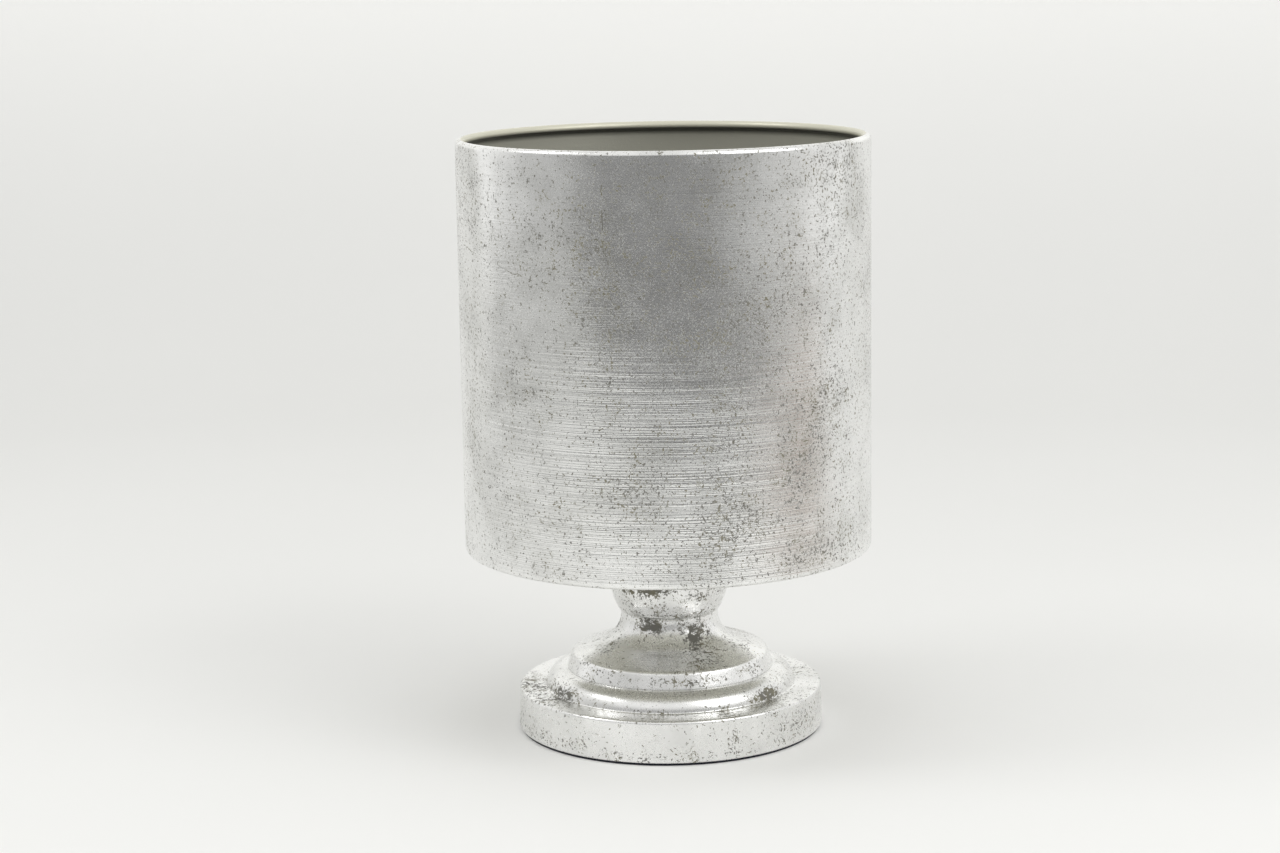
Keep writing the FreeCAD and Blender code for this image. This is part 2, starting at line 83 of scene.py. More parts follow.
RING_EDGE = 0.4 * MM

# Worn places: degrees round from the front, height in mm, spread in degrees and mm, strength
DRUM_WEAR = [
    (-23, 285, 13, 26, 0.42), (-20, 270, 8, 12, 0.50), (-58, 280, 12, 40, 0.16), (-15, 226, 10, 14, 0.36),
    (8, 262, 28, 60, 0.38), (58, 322, 16, 12, 0.36), (48, 290, 7, 34, 0.24), (48, 198, 14, 34, 0.50),
    (36, 170, 6, 40, 0.44), (16, 172, 7, 44, 0.48), (19, 136, 8, 20, 0.54), (-4, 146, 15, 34, 0.26),
    (44, 117, 16, 10, 0.46), (-42, 140, 20, 40, 0.14), (-66, 180, 10, 60, 0.20), (-40, 205, 12, 24, 0.30),
    (100, 250, 26, 50, 0.42), (140, 180, 22, 40, 0.52), (175, 290, 30, 30, 0.44), (205, 150, 20, 34, 0.54),
    (238, 240, 24, 44, 0.42), (262, 130, 22, 22, 0.44), (285, 300, 18, 26, 0.36),
]
KNOP_WEAR = [
    (-22, 84, 26, 3.4, 1.0), (30, 82, 20, 5, 0.72), (-8, 76, 40, 4, 0.50), (10, 70, 50, 1.6, 0.76),
    (75, 84, 16, 5, 0.6), (120, 88, 26, 6, 0.8), (175, 96, 20, 4, 0.9), (215, 78, 30, 5, 0.7),
    (290, 88, 24, 5, 0.8),
]
BELL_WEAR = [
    (-22, 63, 16, 4.6, 1.1), (31, 57, 20, 8, 1.0), (22, 64, 14, 3, 0.70), (-8, 56, 20, 3, 0.62),
    (-58, 50, 10, 4, 0.52), (20, 47, 14, 4, 0.60), (6, 39, 24, 2, 0.68), (54, 40, 6, 3, 0.78),
    (-56, 39, 6, 3, 0.64), (66, 50, 14, 6, 0.5), (130, 50, 24, 7, 0.8), (190, 42, 26, 4, 0.7),
    (250, 58, 22, 6, 0.85), (310, 42, 16, 4, 0.62),
]
PLINTH_WEAR = [
    (-62, 26.5, 11, 2.0, 0.95), (50, 28, 10, 2.6, 1.0), (-84, 24.8, 14, 1.2, 0.74), (-9, 26, 9, 1.6, 0.76),
    (24, 26, 5, 1.6, 0.76), (70, 29, 14, 4, 0.36), (-15, 4, 9, 3, 0.70), (5, 3, 5, 3, 0.60),
    (24, 8, 2.2, 7, 0.74), (58, 12, 18, 8, 0.46), (-48, 7, 16, 4, 0.54), (120, 29, 18, 3, 0.95),
    (165, 6, 22, 4, 0.55), (210, 29, 14, 3, 0.9), (262, 8, 18, 5, 0.6), (300, 28, 12, 3, 0.8),
]
# Scratches and edges of single leaves on the drum: degrees and mm of both ends, width in mm
DRUM_SCRATCHES = [
    ((-83, 285), (-52, 274), 0.5), ((-52, 274), (-23, 262), 0.5), ((-16, 319), (-16, 283), 0.6),
    ((-18, 296), (-8, 286), 0.8), ((37, 146), (38.5, 133), 0.9), ((44, 145), (44.3, 136), 0.8),
    ((8, 147), (11.5, 139), 0.8), ((140, 300), (178, 262), 0.8), ((262, 170), (266, 140), 0.9),
]


class Path:
    """The outside line of a spun sheet in radius and height, with the direction that is outside."""

    def __init__(self):
        self.points = []
        self.normals = []

    def add(self, point, normal):
        if self.points and (Vector(point) - Vector(self.points[-1])).length < 1e-7:
            return
        self.points.append(tuple(point))
        self.normals.append(tuple(normal))

    def line(self, start, end, normal, step=2.5 * MM):
        start, end = Vector(start), Vector(end)
        count = max(1, math.ceil((end - start).length / step))
        for i in range(count + 1):
            self.add(start.lerp(end, i / count), normal)

    def arc(self, centre, radius, first, last, hollow=False, step=math.radians(7)):
        side = -1 if hollow else 1
        count = max(3, math.ceil(abs(last - first) / step))
        for i in range(count + 1):
            angle = first + (last - first) * i / count
            way = Vector((math.cos(angle), math.sin(angle)))
            self.add(Vector(centre) + way * radius, way * side)

    def length_along(self):
        steps = np.linalg.norm(np.diff(np.array(self.points), axis=0), axis=1)
        return np.concatenate([[0], np.cumsum(steps)])


def top_of(node):
    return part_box(node)[1].z


def bottom_of(node):
    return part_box(node)[0].z


def radius_of(node):
    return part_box(node)[1].x


QUARTER = math.pi / 2


def pot_path():
    radius, bottom, top = radius_of("pot_wall"), bottom_of("pot_wall"), top_of("pot_wall")
    corner = (radius - POT_CORNER, bottom + POT_CORNER)
    rim = (radius - RIM_ROUND, top - RIM_ROUND)
    path = Path()
    path.line((radius - POT_FLANGE, bottom), (corner[0], bottom), (0, -1))
    path.arc(corner, POT_CORNER, -QUARTER, 0)
    path.line((radius, corner[1]), (radius, rim[1]), (1, 0))
    path.arc(rim, RIM_ROUND, 0, RIM_CURL)
    return path


def floor_path():
    radius, seat, top = radius_of("pot_floor"), bottom_of("pot_floor"), top_of("pot_floor")
    bend = (radius - FLOOR_BEND, seat + FLOOR_BEND)
    path = Path()
    path.line((BOLT_HOLE, seat), (bend[0], seat), (0, -1), step=4 * MM)
    path.arc(bend, FLOOR_BEND, -QUARTER, 0)
    path.line((radius, bend[1]), (radius, top), (1, 0))
    return path


def knop_path():
    low, high, radius = bottom_of("knop"), top_of("knop"), radius_of("knop")
    centre = Vector((radius - KNOP_BULGE, (low + high) / 2))
    lean = math.asin(((high - low) / 2 - FOOT_BEND) / (KNOP_BULGE - FOOT_BEND))
    reach = (KNOP_BULGE - FOOT_BEND) * math.cos(lean)
    bend_r = centre.x + reach
    path = Path()
    path.line((KNOP_BORE, low), (bend_r, low), (0, -1))
    path.arc((bend_r, low + FOOT_BEND), FOOT_BEND, -QUARTER, -lean)
    path.arc(centre, KNOP_BULGE, -lean, lean, step=math.radians(2.5))
    path.arc((bend_r, high - FOOT_BEND), FOOT_BEND, lean, QUARTER)
    path.line((bend_r, high), (KNOP_BORE, high), (0, 1))
    return path


def bell_path():
    top, bottom, lip_radius = top_of("foot_bell"), bottom_of("foot_bell"), radius_of("foot_bell")
    neck = Vector((NECK_RADIUS, top - FOOT_BEND))
    flare = neck + Vector((BELL_FLARE, 0))
    foot = Vector((lip_radius - LIP_FOOT, bottom + LIP_FOOT))
    out = Vector((math.cos(LIP_LEAN), math.sin(LIP_LEAN)))
    face_low = foot + out * LIP_FOOT
    face_high = face_low + Vector((-out.y, out.x)) * LIP_FACE
    shoulder = face_high - out * SHOULDER_ROUND
    apart = shoulder - flare
    slope = math.atan2(apart.y, apart.x) + math.acos(-(BELL_FLARE + SHOULDER_ROUND) / apart.length)
    way = Vector((math.cos(slope), math.sin(slope)))
    path = Path()
    path.line((BOLT_HOLE, top), (neck.x - FOOT_BEND, top), (0, 1))
    path.arc((neck.x - FOOT_BEND, neck.y), FOOT_BEND, QUARTER, 0)
    path.arc(flare, BELL_FLARE, math.pi, math.pi + slope, hollow=True, step=math.radians(4))
    path.line(flare - way * BELL_FLARE, shoulder + way * SHOULDER_ROUND, way, step=1.2 * MM)
    path.arc(shoulder, SHOULDER_ROUND, slope, LIP_LEAN, step=math.radians(5))
    path.line(face_high, face_low, out, step=1.2 * MM)
    path.arc(foot, LIP_FOOT, LIP_LEAN, -QUARTER)
    path.line((foot.x, bottom), (BELL_BORE, bottom), (0, -1))
    return path


def plinth_path():
    radius, hem = radius_of("foot_plinth"), bottom_of("foot_plinth")
    collar_top = top_of("foot_plinth")
    seat = collar_top - COLLAR_HEIGHT
    ledge = hem + SKIRT_HEIGHT
    foot = Vector((radius - FOOT_BEND, hem + FOOT_BEND))
    edge = Vector((radius - SKIRT_TAPER - FOOT_BEND, ledge - FOOT_BEND))
    lean = math.atan2(edge.y - foot.y, edge.x - foot.x) - QUARTER
    way = Vector((math.cos(lean), math.sin(lean)))
    torus = Vector((TORUS_RADIUS, seat - TORUS_ROUND))
    rise = math.asin((ledge + COVE - torus.y) / (TORUS_ROUND + COVE))
    cove = torus + Vector((math.cos(rise), math.sin(rise))) * (TORUS_ROUND + COVE)
    root = Vector((COLLAR_RADIUS + COLLAR_BEND, seat + COLLAR_BEND))
    path = Path()
    path.line((radius - HEM_WIDTH, hem), (foot.x, hem), (0, -1))
    path.arc(foot, FOOT_BEND, -QUARTER, lean)
    path.line(foot + way * FOOT_BEND, edge + way * FOOT_BEND, way, step=1.2 * MM)
    path.arc(edge, FOOT_BEND, lean, QUARTER)
    path.line((edge.x, ledge), (cove.x, ledge), (0, 1), step=1.5 * MM)
    path.arc(cove, COVE, -QUARTER, rise - math.pi, hollow=True, step=math.radians(12))
    path.arc(torus, TORUS_ROUND, rise, QUARTER, step=math.radians(4))
    path.line((torus.x, seat), (root.x, seat), (0, 1))
    path.arc(root, COLLAR_BEND, -QUARTER, -math.pi, hollow=True, step=math.radians(15))
    path.line((COLLAR_RADIUS, root.y), (COLLAR_RADIUS, collar_top), (1, 0))
    return path


def wear_field(angle, height, places):
    """How worn the leaf is at an angle and height, from the list of worn places."""
    total = np.zeros(np.broadcast(angle, height).shape)
    for degrees, level, spread, reach, strength in places:
        across = np.degrees(np.angle(np.exp(1j * (angle - math.radians(degrees))))) / spread
        along = (height / MM - level) / reach
        total = np.maximum(total, strength * np.exp(-0.5 * (across ** 2 + along ** 2)))
    return total


def ripple(angle, height, depth):
    """A shallow unevenness of rolled sheet, from 0 to depth inwards."""
    wave = (np.sin(3 * angle + 21 * height + 0.4) + np.sin(5 * angle - 33 * height + 2.1)
            + np.sin(8 * angle + 47 * height + 4.0) + np.sin(11 * angle - 16 * height + 1.2))
    return depth * (0.5 + wave / 8)


def spin(name, path, sheet, wear=(), depth=0.0, crest=None):
    """A closed sheet of even thickness turned about the axis, marked with where it is worn or bare.

    Angle 0 is the front, -Y, and turns towards +X. Past the crest, a length along the path, the leaf ends."""
    outer = np.array(path.points)
    inner = outer - np.array(path.normals) * sheet
    rows = np.concatenate([outer, inner[::-1]])
    along = path.length_along()
    bare = np.full(len(outer), -9.0) if crest is None else (along - crest) / MM
    bare = np.concatenate([bare, np.full(len(inner), 9.0)])
    angle = np.arange(SEGMENTS) * (2 * math.pi / SEGMENTS)
    height = np.repeat(rows[:, 1:], SEGMENTS, axis=1)
    radius = rows[:, :1] - ripple(angle[None, :], height, depth)
    x, y = radius * np.sin(angle), -radius * np.cos(angle)
    points = np.stack([x, y, height], axis=-1).reshape(-1, 3)
    row = np.arange(len(rows))[:, None] * SEGMENTS
    next_row = (np.roll(np.arange(len(rows)), -1) * SEGMENTS)[:, None]
    seg = np.arange(SEGMENTS)[None, :]
    next_seg = np.roll(np.arange(SEGMENTS), -1)[None, :]
    faces = np.stack([row + seg, row + next_seg, next_row + next_seg, next_row + seg], axis=-1).reshape(-1, 4)
    mesh = bpy.data.meshes.new(name)
    mesh.from_pydata(points.tolist(), [], faces.tolist())
    mark(mesh, "wear", wear_field(angle[None, :], height, wear))
    mark(mesh, "bare", np.repeat(bare[:, None], SEGMENTS, axis=1))
    return finish_mesh(name, mesh)


def mark(mesh, name, values):
    layer = mesh.attributes.new(name, "FLOAT", "POINT")
    layer.data.foreach_set("value", np.asarray(values, dtype=np.float32).ravel())


def finish_mesh(name, mesh):
    mesh.validate()
    mesh.update()
    if signed_volume(mesh) < 0:
        mesh.flip_normals()
    mesh.shade_smooth()
    mesh.set_sharp_from_angle(angle=math.radians(38))
    piece = bpy.data.objects.new(name, mesh)
    bpy.context.scene.collection.objects.link(piece)
    return piece


def signed_volume(mesh):
    mesh.calc_loop_triangles()
    corners = np.array([t.vertices for t in mesh.loop_triangles])
    points = np.array([v.co for v in mesh.vertices])
    a, b, c = (points[corners[:, i]] for i in range(3))
    return float(np.einsum("ij,ij->i", a, np.cross(b, c)).sum() / 6)


DRUM_RADIUS = radius_of("pot_wall")
RIM_TOP = top_of("pot_wall")


class Nodes:
    """Short names for building a node tree."""

    def __init__(self, tree, place):
        self.tree = tree
        self.tree.nodes.clear()
        self.place = self.tree.nodes.new("ShaderNodeTexCoord").outputs[place]

    def feed(self, socket, value):
        if isinstance(value, bpy.types.NodeSocket):
            self.tree.links.new(value, socket)
        else:
            socket.default_value = value

    def maths(self, operation, first, second=0.0, clamp=False):
        node = self.tree.nodes.new("ShaderNodeMath")
        node.operation = operation
        node.use_clamp = clamp
        self.feed(node.inputs[0], first)
        self.feed(node.inputs[1], second)
        return node.outputs[0]

    def stretch(self, scale):
        return self.vector("MULTIPLY", self.place, scale)

    def split(self, vector):
        node = self.tree.nodes.new("ShaderNodeSeparateXYZ")
        self.feed(node.inputs[0], vector)
        return node.outputs

    def noise(self, scale, detail=2.0, rough=0.5, distort=0.0, vector=None):
        node = self.tree.nodes.new("ShaderNodeTexNoise")
        self.feed(node.inputs["Vector"], vector or self.place)
        node.inputs["Scale"].default_value = scale
        node.inputs["Detail"].default_value = detail
        node.inputs["Roughness"].default_value = rough
        node.inputs["Distortion"].default_value = distort
        return node.outputs["Fac"]

    def step(self, value, low, high, to_low=0.0, to_high=1.0, kind="SMOOTHSTEP"):
        node = self.tree.nodes.new("ShaderNodeMapRange")
        node.interpolation_type = kind
        for key, number in zip(("From Min", "From Max", "To Min", "To Max"), (low, high, to_low, to_high)):
            self.feed(node.inputs[key], number)
        self.feed(node.inputs["Value"], value)
        return node.outputs["Result"]

    def mix(self, share, first, second):
        node = self.tree.nodes.new("ShaderNodeMix")
        node.data_type = "RGBA"
        self.feed(node.inputs[0], share)
        for socket, colour in ((node.inputs[6], first), (node.inputs[7], second)):
            self.feed(socket, colour if isinstance(colour, bpy.types.NodeSocket) else (*colour, 1.0))
        return node.outputs[2]

    def blend(self, share, first, second):
        node = self.tree.nodes.new("ShaderNodeMix")
        node.data_type = "FLOAT"
        for socket, value in zip(node.inputs[:1] + node.inputs[2:4], (share, first, second)):
            self.feed(socket, value)
        return node.outputs[0]

    def vector(self, operation, first, second=None):
        node = self.tree.nodes.new("ShaderNodeVectorMath")
        node.operation = operation
        self.feed(node.inputs[0], first)
        if second is not None:
            self.feed(node.inputs["Scale" if operation == "SCALE" else 1], second)
        return node.outputs["Value" if operation in ("DOT_PRODUCT", "LENGTH") else 0]

    def ray(self, kind):
        return self.tree.nodes.new("ShaderNodeLightPath").outputs[kind]


class Surface(Nodes):
    """A material with one shader."""

    def __init__(self, name):
        self.material = bpy.data.materials.new(name)
        self.material.use_nodes = True
        super().__init__(self.material.node_tree, "Object")
        self.shader = self.tree.nodes.new("ShaderNodeBsdfPrincipled")
        output = self.tree.nodes.new("ShaderNodeOutputMaterial")
        self.tree.links.new(self.shader.outputs[0], output.inputs["Surface"])
        self.flat = None

    def unrolled(self):
        """Place on the drum's sheet laid flat, in metres round from the front and up, a little unsteady."""
        if self.flat is None:
            x, y, z = self.split(self.place)
            turned = self.maths("ARCTAN2", x, self.maths("MULTIPLY", y, -1.0))
            around = self.maths("MULTIPLY", turned, DRUM_RADIUS)
            waver = self.maths("MULTIPLY", self.maths("SUBTRACT", self.noise(120, 3.0), 0.5), 0.004)
            node = self.tree.nodes.new("ShaderNodeCombineXYZ")
            self.feed(node.inputs["X"], self.maths("ADD", around, waver))
            self.feed(node.inputs["Y"], self.maths("ADD", z, waver))
            self.flat = node.outputs[0]
        return self.flat

    def scratch(self, start, end, width):
        """A thin line between two places on the drum, given in degrees and mm."""
        first, last = (Vector((math.remainder(math.radians(a), 2 * math.pi) * DRUM_RADIUS, z * MM, 0))
                       for a, z in (start, end))
        way = (last - first).normalized()
        away = self.vector("SUBTRACT", self.unrolled(), first)
        along = self.maths("MAXIMUM", self.vector("DOT_PRODUCT", away, way), 0.0)
        along = self.maths("MINIMUM", along, (last - first).length)
        foot = self.vector("SCALE", way, along)
        distance = self.vector("LENGTH", self.vector("SUBTRACT", away, foot))
        return self.step(distance, width * MM * 0.7, width * MM * 0.3)

    def attribute(self, name):
        node = self.tree.nodes.new("ShaderNodeAttribute")
        node.attribute_name = name
        return node.outputs["Fac"]

    def bump(self, height, distance, strength=1.0, under=None):
        node = self.tree.nodes.new("ShaderNodeBump")
        self.feed(node.inputs["Strength"], strength)
        node.inputs["Distance"].default_value = distance
        self.feed(node.inputs["Height"], height)
        if under is not None:
            self.feed(node.inputs["Normal"], under)
        return node.outputs["Normal"]

    def brushed(self, amount):
        """Reflections smeared across the turning lines."""
        tangent = self.tree.nodes.new("ShaderNodeTangent")
        tangent.direction_type = "RADIAL"
        tangent.axis = "Z"
        self.shader.inputs["Anisotropic"].default_value = amount
        self.shader.inputs["Anisotropic Rotation"].default_value = 0.25
        self.feed(self.shader.inputs["Tangent"], tangent.outputs[0])

    def set(self, **values):
        names = {"colour": "Base Color", "metal": "Metallic", "rough": "Roughness", "normal": "Normal",
                 "gloss": "Specular IOR Level"}
        for key, value in values.items():
            self.feed(self.shader.inputs[names[key]], value)
        return self.material


SILVER = (0.94, 0.938, 0.93)
SILVER_DULL = (0.80, 0.80, 0.785)
DRUM_SILVER = (0.93, 0.93, 0.92)
DRUM_DULL = (0.76, 0.76, 0.745)
GROUND = (0.175, 0.17, 0.15)
GROUND_OLIVE = (0.205, 0.19, 0.13)
BARE_METAL = (0.47, 0.465, 0.405)
RIM_METAL = (0.66, 0.645, 0.53)
# Painted shade for the underside of the rim's curl and the wall just below it
CURL_SHADE = (0.09, 0.09, 0.08)
LEAF_EDGE = 0.02 * MM


def worn_through(n, fleck, cuts, scratches):
    """Where the leaf is gone: in specks, flakes, worm tracks and scratches."""
    uneven = n.maths("MULTIPLY", n.maths("SUBTRACT", n.noise(26, 5, 0.62), 0.5), 1.3)
    worn = n.maths("ADD", n.attribute("wear"), uneven, clamp=True)
    # Specks and flakes: noises cut at a level that sinks where the leaf is worn
    speck_cut = n.step(worn, 0.0, 1.0, *cuts, "LINEAR")
    speck = n.step(n.maths("SUBTRACT", n.noise(fleck, 2.0, 0.6, 0.4), speck_cut), -0.012, 0.020, 0.0, 0.9)
    torn = n.noise(fleck * 0.34, 5.0, 0.66, 0.7, n.stretch((1.0, 1.0, 1.6)))
    flake_cut = n.step(worn, 0.2, 1.0, 0.76, 0.42, "LINEAR")
    flake = n.step(n.maths("SUBTRACT", torn, flake_cut), -0.008, 0.014)
    # Worm tracks: thin ridges of a noise, broken up by a second one
    ridge = n.maths("ABSOLUTE", n.maths("SUBTRACT", n.noise(fleck * 0.34, 2.0, 0.5, 1.2), 0.5))
    track = n.step(ridge, 0.026, 0.010)
    gaps = n.noise(fleck * 0.24, 2.0)
    broken = n.step(n.maths("ADD", gaps, n.maths("MULTIPLY", worn, 0.36)), 0.66, 0.73)
    gone = n.maths("MAXIMUM", n.maths("MAXIMUM", speck, n.maths("MULTIPLY", track, broken)), flake)
    for start, end, width in scratches:
        line = n.maths("MULTIPLY", n.scratch(start, end, width), n.step(gaps, 0.42, 0.56))
        gone = n.maths("MAXIMUM", gone, line)
    return gone


def rim_and_inside(n):
    """The share and the colour of sheet that has no leaf: the crest of the rim, its curl and the inside, with
    painted shade under the curl.
    """
    bare = n.attribute("bare")
    inside = n.step(n.maths("ADD", bare, n.maths("MULTIPLY", n.noise(420, 3), 1.6)), 0.7, 1.1)
    # The sheet is paler on the crest; under the curl and on the wall just below it, its colour is darkened by
    # painted shade
    below_rim = n.step(n.split(n.place)["Z"], RIM_TOP - 8.8 * MM, RIM_TOP - 4.8 * MM)
    painted_curl_shade = n.maths("MULTIPLY", n.step(bare, 4.2, 5.4), below_rim)
    sheet = n.mix(n.step(bare, 3.6, 5.0), RIM_METAL, BARE_METAL)
    return inside, n.mix(painted_curl_shade, sheet, CURL_SHADE)


def turned_relief(n, gone, lines, crinkle):
    """Turning lines and crinkled leaf, of depths in mm, and the edges of the leaf."""
    fine = n.noise(1.0, 0.0, 0.5, 0.0, n.stretch((6.0, 6.0, 2000.0)))
    coarse = n.noise(1.0, 3.0, 0.62, 0.0, n.stretch((4.0, 4.0, 330.0)))
    turned = n.maths("ADD", n.maths("MULTIPLY", fine, 0.8), coarse)
    # The lines are plainest low on the drum, where the sheet was brushed hardest
    height = n.maths("ADD", n.split(n.place)["Z"], n.maths("MULTIPLY", n.noise(18, 2.0), 0.05))
    brushed = n.step(height, 0.275, 0.215, 0.30, 1.0)
    normal = n.bump(turned, lines * MM, strength=brushed)
    normal = n.bump(n.noise(620, 3.0, 0.65), crinkle * MM, under=normal)
    return n.bump(gone, LEAF_EDGE, under=normal)


def leaf_material(name, tones, fleck, cuts, shine, relief, scratches=()):
    """Silver leaf worn through to an olive ground.

    Fleck is the scale of the specks, cuts are the noise levels of sound and worn leaf, shine is the
    roughness of its smooth and dull places and what fine dull flecks add, and relief is the depths in mm
    of the turning lines and of the crinkled leaf."""
    n = Surface(name)
    gone = worn_through(n, fleck, cuts, scratches)
    # The sheet colour carries the painted shade under the curl
    inside, sheet = rim_and_inside(n)
    silver = n.mix(n.step(n.noise(26, 4.0, 0.6), 0.35, 0.7), *tones)
    ground = n.mix(n.step(n.noise(90, 3), 0.42, 0.62), GROUND, GROUND_OLIVE)
    colour = n.mix(inside, n.mix(gone, silver, ground), sheet)
    dull = n.step(n.noise(fleck * 1.6, 3.0, 0.66), 0.48, 0.68, 0.0, shine[2])
    leaf_rough = n.maths("ADD", n.step(n.noise(55, 4.0, 0.6), 0.3, 0.7, *shine[:2]), dull)
    rough = n.blend(inside, n.blend(gone, leaf_rough, 0.5), 0.40)
    metal = n.blend(inside, n.maths("SUBTRACT", 1.0, n.maths("MULTIPLY", gone, 0.85)), 0.45)
    n.brushed(0.15)
    return n.set(colour=colour, metal=metal, rough=rough, normal=turned_relief(n, gone, *relief))


def inner_material():
    """Bare sheet with turning lines and faint stains."""
    n = Surface("bare sheet")
    rings = n.noise(1.0, 2.0, 0.6, 0.0, n.stretch((12.0, 12.0, 1200.0)))
    stain = n.noise(30, 4.0, 0.6, 0.5)
    colour = n.mix(n.step(stain, 0.35, 0.7), (0.62, 0.615, 0.56), (0.52, 0.51, 0.45))
    rough = n.step(stain, 0.3, 0.7, 0.32, 0.46)
    normal = n.bump(rings, 0.00008)
    normal = n.bump(n.noise(500, 3.0), 0.00008, under=normal)
    n.brushed(0.4)
    return n.set(colour=colour, metal=0.75, rough=rough, normal=normal)


def steel_material():
    """Zinc-plated steel, finely grained and slightly spotted."""
    n = Surface("plated steel")
    grain = n.noise(900, 3.0, 0.6)
    stain = n.noise(120, 4.0, 0.6)
    colour = n.mix(n.step(stain, 0.4, 0.7), (0.56, 0.56, 0.55), (0.44, 0.44, 0.42))
    rough = n.step(grain, 0.3, 0.7, 0.30, 0.44)
    return n.set(colour=colour, metal=1.0, rough=rough, normal=n.bump(grain, 0.00005))


def rubber_material():
    n = Surface("seal rubber")
    grain = n.noise(800, 3.0, 0.6)
    colour = n.mix(n.step(grain, 0.4, 0.65), (0.022, 0.022, 0.023), (0.034, 0.034, 0.035))
    return n.set(colour=colour, metal=0.0, rough=n.step(grain, 0.3, 0.7, 0.62, 0.78), gloss=0.35,
                 normal=n.bump(grain, 0.00006))


def felt_material():
    """Matted dark fibres."""
    n = Surface("felt")
    fibre = n.noise(1500, 4.0, 0.7, 1.5)
    colour = n.mix(n.step(fibre, 0.35, 0.7), (0.010, 0.010, 0.016), (0.034, 0.034, 0.048))
    n.shader.inputs["Sheen Weight"].default_value = 0.25
    return n.set(colour=colour, metal=0.0, rough=0.95, gloss=0.1, normal=n.bump(fibre, 0.0002))


def dress(piece, material, node):
    """Gives a new piece its material and lets it stand for a CAD node."""
    piece.data.materials.clear()
    piece.data.materials.append(material)
    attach(piece, "root")
    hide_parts(node)


def paint(node, material):
    """A better material for a CAD node whose shape is right."""
    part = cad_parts[node]
    part.data.materials.clear()
    part.data.materials.append(material)


def build_pot():
    path = pot_path()
    rim_start = path.length_along()[-1] - RIM_ROUND * RIM_CURL
    crest = rim_start + RIM_ROUND * RIM_CREST
    wall = spin("drum", path, POT_SHEET, DRUM_WEAR, depth=POT_RIPPLE, crest=crest)
    leaf = leaf_material("silver leaf drum", (DRUM_SILVER, DRUM_DULL), fleck=690.0, cuts=(0.640, 0.50),
                         shine=(0.13, 0.20, 0.15), relief=(0.108, 0.06), scratches=DRUM_SCRATCHES)
    dress(wall, leaf, "pot_wall")
    floor = spin("drum_floor", floor_path(), POT_SHEET)
    dress(floor, inner_material(), "pot_floor")


def build_foot():
    knop = spin("knop_shell", knop_path(), FOOT_SHEET, KNOP_WEAR)
    bell = spin("bell_shell", bell_path(), FOOT_SHEET, BELL_WEAR)
    plinth = spin("plinth_shell", plinth_path(), FOOT_SHEET, PLINTH_WEAR)
    leaf = leaf_material("silver leaf foot", (SILVER, SILVER_DULL), fleck=660.0, cuts=(0.68, 0.515),
                         shine=(0.22, 0.30, 0.06), relief=(0.012, 0.03))
    dress(knop, leaf, "knop")
    dress(bell, leaf, "foot_bell")
    dress(plinth, leaf, "foot_plinth")


def build_ring():
    """The felt ring, its edges rounded by wear."""
    low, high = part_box("base_ring")
    outside, inside = high.x, high.x - RING_WIDTH
    top, soft = high.z, RING_EDGE
    path = Path()
    path.arc((inside + soft, low.z + soft), soft, math.pi, 1.5 * math.pi)
    path.line((inside + soft, low.z), (outside - soft, low.z), (0, -1), step=1 * MM)
    path.arc((outside - soft, low.z + soft), soft, -QUARTER, 0)
    path.line((outside, low.z + soft), (outside, top), (1, 0))
    path.line((outside, top), (inside, top), (0, 1), step=1 * MM)
    ring = turn("felt_ring", path)
    dress(ring, felt_material(), "base_ring")


def turn(name, path):
    """A closed outline turned about the axis to a solid ring."""
    rows = np.array(path.points)
    angle = np.arange(SEGMENTS) * (2 * math.pi / SEGMENTS)
    points = [(r * math.sin(a), -r * math.cos(a), z) for r, z in rows for a in angle]
    faces = []
    for i in range(len(rows)):
        here, after = i * SEGMENTS, (i + 1) % len(rows) * SEGMENTS
        for j in range(SEGMENTS):
            k = (j + 1) % SEGMENTS
            faces.append((here + j, here + k, after + k, after + j))
    mesh = bpy.data.meshes.new(name)
    mesh.from_pydata(points, [], faces)
    return finish_mesh(name, mesh)


def paint_hardware():
    steel = steel_material()
    for node in STEEL_NODES:
        paint(node, steel)
    paint("seal_washer", rubber_material())


# Colours of the table: plain paper to the camera, and in the metal and in bounced light paper greyed by
# painted shade to the sides and towards the dim room in front; and of what stands round it
PAPER = ((0.86, 0.86, 0.845), (0.88, 0.88, 0.865))
PAPER_SHADE_LEFT = (0.48, 0.48, 0.47)
PAPER_SHADE_RIGHT = (0.71, 0.71, 0.70)
PAPER_WARM = (0.45, 0.395, 0.36)
PAPER_SHADE_FRONT = (0.19, 0.19, 0.19)
PAPER_SHADE_FAR = (0.36, 0.36, 0.36)
PAPER_SHADE_FAR_RIGHT = (0.60, 0.60, 0.59)
WALL = (0.95, 0.95, 0.94)
CEILING = (0.88, 0.88, 0.87)
ROOM = (0.28, 0.28, 0.28)
SEEN_AROUND = (0.84, 0.84, 0.82)
ROOM_WAY = (-0.15, -0.989, 0.0)


def table_mesh():
    """A flat table that sweeps up behind the object."""
    front, back, wide, sweep, high = -3.2, 1.0, 2.4, 0.7, 2.4
    profile = [(front, 0.0), (-0.5, 0.0), (0.0, 0.0), (0.5, 0.0), (back, 0.0)]
    for i in range(1, 13):
        angle = i / 12 * QUARTER
        profile.append((back + sweep * math.sin(angle), sweep * (1 - math.cos(angle))))
    profile.append((back + sweep, high))
    points = [(x, y, z) for x in (-wide, wide) for y, z in profile]
    count = len(profile)
    faces = [(i, count + i, count + i + 1, i + 1) for i in range(count - 1)]
    mesh = bpy.data.meshes.new("table")
    mesh.from_pydata(points, [], faces)
    mesh.shade_smooth()
    return mesh


